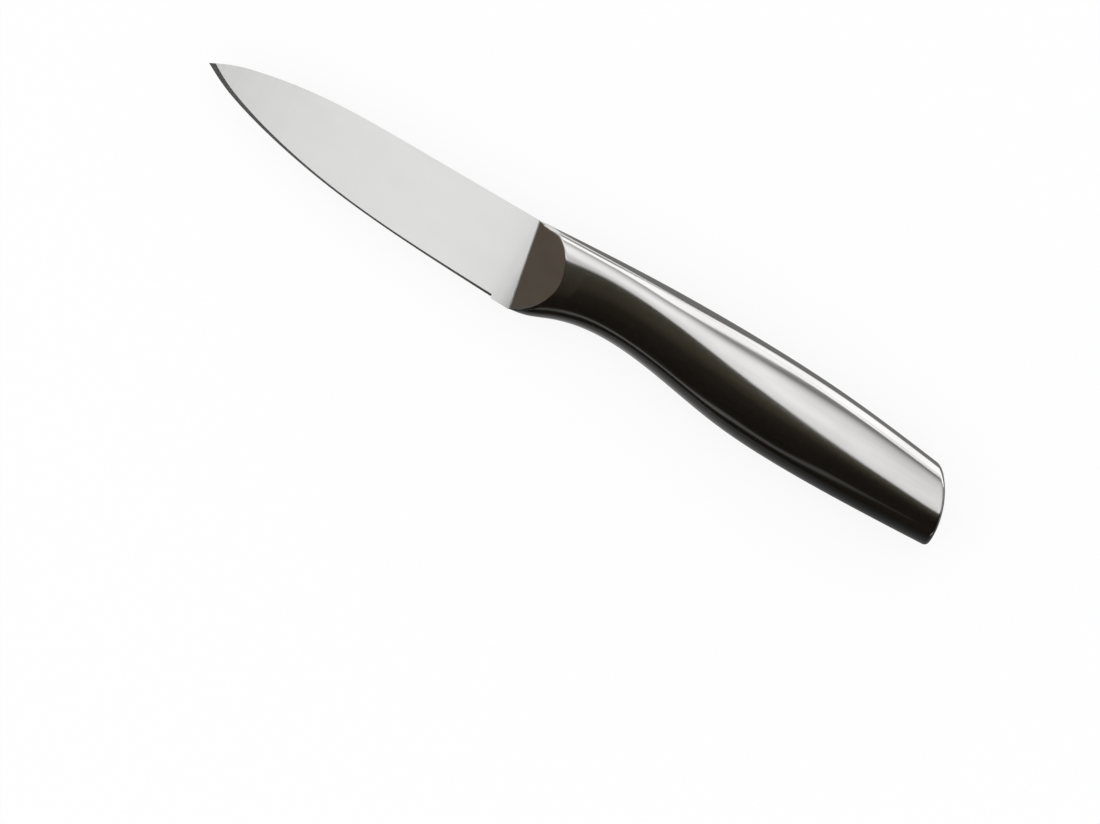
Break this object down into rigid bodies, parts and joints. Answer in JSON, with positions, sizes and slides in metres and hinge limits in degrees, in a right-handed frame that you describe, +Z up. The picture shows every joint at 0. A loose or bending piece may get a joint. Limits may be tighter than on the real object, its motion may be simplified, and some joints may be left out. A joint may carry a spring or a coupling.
{
  "type": "paring knife",
  "caption": "Small all-steel kitchen knife with a pointed flat-ground blade, a slanted bolster and a curved hollow handle.",
  "frame": {"origin": "centre of the bounding box, on the plane that the knife lies on", "axes": "+X from the blade's tip to the butt, +Y from the cutting edge to the spine, +Z up out of the side that lies uppermost, square to the blade's middle plane"},
  "size_m": [0.2046, 0.025, 0.017],
  "materials": {
    "blade_steel": "fine ground, satin",
    "bolster_steel": "polished, with fine satin lines",
    "handle_steel": "polished, with fine satin lines along the handle",
    "weld_steel": "ground flush and polished",
    "cap_steel": "polished",
    "weight_steel": "bare, as cut"
  },
  "bodies": {
    "root": {"blade": "blade_steel", "bolster": "bolster_steel", "handle_shell_left": "handle_steel", "handle_shell_right": "handle_steel", "spine_seam_weld": "weld_steel", "belly_seam_weld": "weld_steel", "bolster_ring_weld": "weld_steel", "butt_ring_weld": "weld_steel", "butt_cap": "cap_steel", "balance_weight": "weight_steel"}
  },
  "joints": []
}
